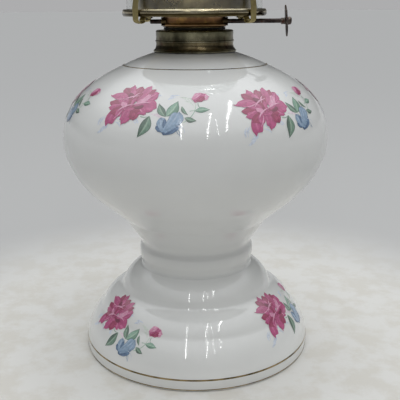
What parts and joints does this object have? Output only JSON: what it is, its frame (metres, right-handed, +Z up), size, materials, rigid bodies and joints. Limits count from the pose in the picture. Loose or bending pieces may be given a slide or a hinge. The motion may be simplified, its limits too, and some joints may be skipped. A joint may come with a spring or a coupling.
{
  "type": "oil lamp",
  "caption": "Porcelain table oil lamp with a rounded font on a waisted foot, a screw-in flat-wick burner with a side winder, and a tall bulged glass chimney.",
  "frame": {"origin": "centre of the foot's underside, on the surface that the lamp stands on", "axes": "+Z up along the lamp's axis, +X towards the wick winder's thumbwheel, -Y towards the viewer"},
  "size_m": [0.1524, 0.1524, 0.4131],
  "materials": {
    "porcelain": "gloss",
    "aged_brass": "aged",
    "olive_brass": "aged",
    "coppery_brass": "aged",
    "spring_brass": "dull",
    "blackened_steel": "blackened",
    "plaster": "matte",
    "gasket_rubber": "matte",
    "cotton": "woven",
    "clear_glass": "clear"
  },
  "bodies": {
    "lamp_base": {"porcelain_font": "porcelain", "porcelain_foot": "porcelain", "collar": "aged_brass", "collar_plaster": "plaster"},
    "burner_seal": {"burner_gasket": "gasket_rubber"},
    "burner": {"threaded_base": "olive_brass", "drum_shell": "coppery_brass", "wick_tube": "olive_brass", "winder_cap": "olive_brass", "shaft_bush_left": "olive_brass", "shaft_bush_right": "olive_brass", "air_pan": "olive_brass", "gallery_ring": "olive_brass", "chimney_prong_1": "spring_brass", "chimney_prong_2": "spring_brass", "chimney_prong_3": "spring_brass", "chimney_prong_4": "spring_brass", "prong_rivet_1": "olive_brass", "prong_rivet_2": "olive_brass", "prong_rivet_3": "olive_brass", "prong_rivet_4": "olive_brass", "deflector_dome": "olive_brass"},
    "wick_winder": {"winder_shaft": "blackened_steel", "spur_wheel_1": "olive_brass", "spur_wheel_2": "olive_brass", "spur_wheel_3": "olive_brass", "spur_wheel_4": "olive_brass", "thumbwheel": "blackened_steel", "shaft_button": "blackened_steel"},
    "wick": {"wick": "cotton"},
    "chimney": {"glass_chimney": "clear_glass"}
  },
  "joints": [
    {"name": "burner_rise", "type": "slide", "parent": "lamp_base", "child": "burner_seal", "axis": [0, 0, 1], "range_m": [0, 0.0073]},
    {"name": "burner_turn", "type": "hinge", "parent": "burner_seal", "child": "burner", "pos_m": [0, 0, 0.188], "axis": [0, 0, 1], "range_deg": [0, 1440]},
    {"name": "winder_turn", "type": "hinge", "parent": "burner", "child": "wick_winder", "pos_m": [0, -0.0058, 0.1931], "axis": [1, 0, 0], "range_deg": [-110, 165]},
    {"name": "wick_feed", "type": "slide", "parent": "burner", "child": "wick", "axis": [0, 0, 1], "range_m": [-0.0082, 0.0123]},
    {"name": "chimney_lift", "type": "slide", "parent": "burner", "child": "chimney", "axis": [0, 0, 1], "range_m": [0, 0.03]}
  ],
  "couplings": [
    {"joint": "burner_rise", "follows": "burner_turn", "m_per_rad": 0.00028648},
    {"joint": "wick_feed", "follows": "winder_turn", "m_per_rad": 0.0042}
  ]
}
